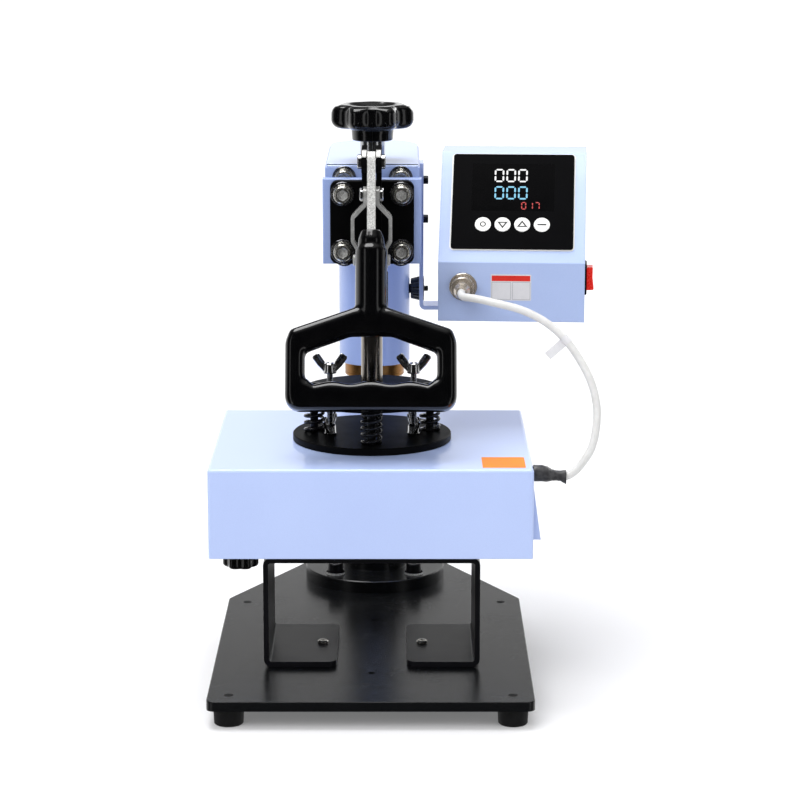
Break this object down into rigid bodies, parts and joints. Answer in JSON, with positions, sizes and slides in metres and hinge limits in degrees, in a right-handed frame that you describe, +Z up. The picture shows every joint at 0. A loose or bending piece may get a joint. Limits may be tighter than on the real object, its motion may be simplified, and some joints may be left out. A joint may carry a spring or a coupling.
{
  "type": "shin guard heat press",
  "caption": "Swing-away bench press that bonds prints onto curved guards: a toggle handle drives a sprung heated head over a low arched form, with a sloped console beside its arm.",
  "frame": {"origin": "On the floor under the middle of the machine's bounding box, the cable left out.", "axes": "+Z is up. -Y is the front, where the operator and the handle are. +X is the operator's right, the side of the console."},
  "size_m": [0.3776, 0.518, 0.561],
  "materials": {
    "blue_paint": "smooth semi-gloss powder coat",
    "textured_black": "fine textured matt powder coat",
    "satin_black": "satin black oxide",
    "black_rubber": "matt",
    "plated_steel": "zinc plated",
    "bright_steel": "ground and plated",
    "black_screw": "black oxide",
    "bright_screw": "stainless socket screw",
    "bronze": "oiled bearing bronze",
    "nickel": "nickel plated",
    "gloss_black": "gloss phenolic",
    "panel_black": "printed film",
    "display_glass": "dark tinted window",
    "white_key": "moulded keys under print",
    "red_plastic": "translucent rocker",
    "pale_cable": "smooth jacket",
    "spring_black": "black spring steel",
    "die_metal": "cast and machined",
    "red_silicone": "silicone sponge",
    "mineral_wool": "pressed insulation board"
  },
  "bodies": {
    "base": {"base_plate": "textured_black", "rubber_feet": "black_rubber", "base_screws": "plated_steel", "post_flange": "textured_black", "flange_bolts": "black_screw", "post": "bright_steel", "stand": "textured_black", "lower_form": "die_metal", "form_pad": "red_silicone"},
    "arm": {"swing_sleeve": "blue_paint", "sleeve_bushes": "bronze", "arm_box": "blue_paint", "arm_lid": "blue_paint", "nose_plate": "blue_paint", "nose_screws": "bright_screw", "screw_bush": "bright_steel", "console_strap": "blue_paint", "strap_screws": "black_screw", "console_shell": "blue_paint", "console_back": "blue_paint", "mains_inlet": "gloss_black", "control_panel": "panel_black", "display_window": "display_glass", "power_bezel": "panel_black", "head_socket": "nickel", "cable_plug": "nickel", "cable": "pale_cable"},
    "swing_lock": {"swing_lock_knob": "gloss_black"},
    "rocker": {"power_rocker": "red_plastic"},
    "key_set": {"button_set": "white_key"},
    "key_down": {"button_down": "white_key"},
    "key_up": {"button_up": "white_key"},
    "key_clear": {"button_clear": "white_key"},
    "carriage": {"front_plate": "blue_paint", "slide_block": "textured_black", "clamp_body": "satin_black", "clamp_screws": "bright_screw", "frame_pin": "nickel"},
    "pressure": {"pressure_knob": "gloss_black", "pressure_screw": "bright_steel"},
    "handle": {"lever": "nickel", "grip": "gloss_black", "crank_pin": "nickel"},
    "links": {"toggle_links": "nickel"},
    "ram": {"plunger": "bright_steel", "plunger_nut": "black_screw", "upper_disc": "satin_black"},
    "head": {"lower_disc": "satin_black", "disc_springs": "spring_black", "guide_bolts": "black_screw", "head_studs": "plated_steel", "head_cover": "blue_paint", "heater_wool": "mineral_wool", "heater_die": "die_metal", "cable_sleeve": "black_rubber"},
    "upper_wing_left": {"wing_nut_upper_left": "nickel"},
    "upper_wing_right": {"wing_nut_upper_right": "nickel"},
    "lower_wing_left": {"wing_nut_lower_left": "nickel"},
    "lower_wing_right": {"wing_nut_lower_right": "nickel"},
    "die_clamp": {"die_knob": "gloss_black"}
  },
  "joints": [
    {"name": "arm_swing", "type": "hinge", "parent": "base", "child": "arm", "pos_m": [-0.03378, 0.18, 0.269], "axis": [0, 0, 1], "range_deg": [-120, 120]},
    {"name": "swing_lock_turn", "type": "hinge", "parent": "arm", "child": "swing_lock", "pos_m": [0.00522, 0.18, 0.3475], "axis": [1, 0, 0], "continuous": true},
    {"name": "power_rock", "type": "hinge", "parent": "arm", "child": "rocker", "pos_m": [0.17811, -0.01209, 0.3905], "axis": [0.0698, 0.9976, 0], "range_deg": [0, 6]},
    {"name": "pressure_lift", "type": "slide", "parent": "arm", "child": "carriage", "axis": [0, 0, 1], "range_m": [0, 0.012]},
    {"name": "pressure_turn", "type": "hinge", "parent": "carriage", "child": "pressure", "pos_m": [-0.03378, 0.023, 0.525], "axis": [0, 0, 1], "range_deg": [0, 1081]},
    {"name": "handle_lift", "type": "hinge", "parent": "carriage", "child": "handle", "pos_m": [-0.03378, -0.083, 0.5155], "axis": [-1, 0, 0], "range_deg": [0, 118]},
    {"name": "link_turn", "type": "hinge", "parent": "handle", "child": "links", "pos_m": [-0.03378, -0.083, 0.4835], "axis": [-1, 0, 0], "range_deg": [-144.5, 0]},
    {"name": "ram_slide", "type": "slide", "parent": "carriage", "child": "ram", "axis": [0, 0, 1], "range_m": [0, 0.0537]},
    {"name": "head_float", "type": "slide", "parent": "ram", "child": "head", "axis": [0, 0, 1], "range_m": [0, 0.006], "stiffness_N_per_m": 8000, "springref_m": -0.006, "deforming": ["disc_springs"]},
    {"name": "upper_wing_left_turn", "type": "hinge", "parent": "head", "child": "upper_wing_left", "pos_m": [-0.07478, -0.094, 0.3095], "axis": [0, 0, 1], "continuous": true},
    {"name": "upper_wing_right_turn", "type": "hinge", "parent": "head", "child": "upper_wing_right", "pos_m": [0.00722, -0.094, 0.3095], "axis": [0, 0, 1], "continuous": true},
    {"name": "lower_wing_left_turn", "type": "hinge", "parent": "head", "child": "lower_wing_left", "pos_m": [-0.07478, -0.094, 0.2485], "axis": [0, 0, 1], "range_deg": [-55, 30]},
    {"name": "lower_wing_right_turn", "type": "hinge", "parent": "head", "child": "lower_wing_right", "pos_m": [0.00722, -0.094, 0.2485], "axis": [0, 0, 1], "range_deg": [-30, 55]},
    {"name": "die_clamp_turn", "type": "hinge", "parent": "head", "child": "die_clamp", "pos_m": [-0.15838, -0.189, 0.1549], "axis": [0, 0, 1], "continuous": true},
    {"name": "key_set_press", "type": "slide", "parent": "arm", "child": "key_set", "axis": [0.0557, 0.7971, -0.6013], "range_m": [0, 0.0006], "stiffness_N_per_m": 500, "springref_m": -0.0004},
    {"name": "key_down_press", "type": "slide", "parent": "arm", "child": "key_down", "axis": [0.0557, 0.7971, -0.6013], "range_m": [0, 0.0006], "stiffness_N_per_m": 500, "springref_m": -0.0004},
    {"name": "key_up_press", "type": "slide", "parent": "arm", "child": "key_up", "axis": [0.0557, 0.7971, -0.6013], "range_m": [0, 0.0006], "stiffness_N_per_m": 500, "springref_m": -0.0004},
    {"name": "key_clear_press", "type": "slide", "parent": "arm", "child": "key_clear", "axis": [0.0557, 0.7971, -0.6013], "range_m": [0, 0.0006], "stiffness_N_per_m": 500, "springref_m": -0.0004}
  ],
  "couplings": [
    {"joint": "pressure_turn", "follows": "pressure_lift", "rad_per_m": 1570.8},
    {"joint": "link_turn", "follows": "handle_lift", "ratio": -1.222},
    {"joint": "ram_slide", "follows": "handle_lift", "m_per_rad": 0.026024}
  ]
}
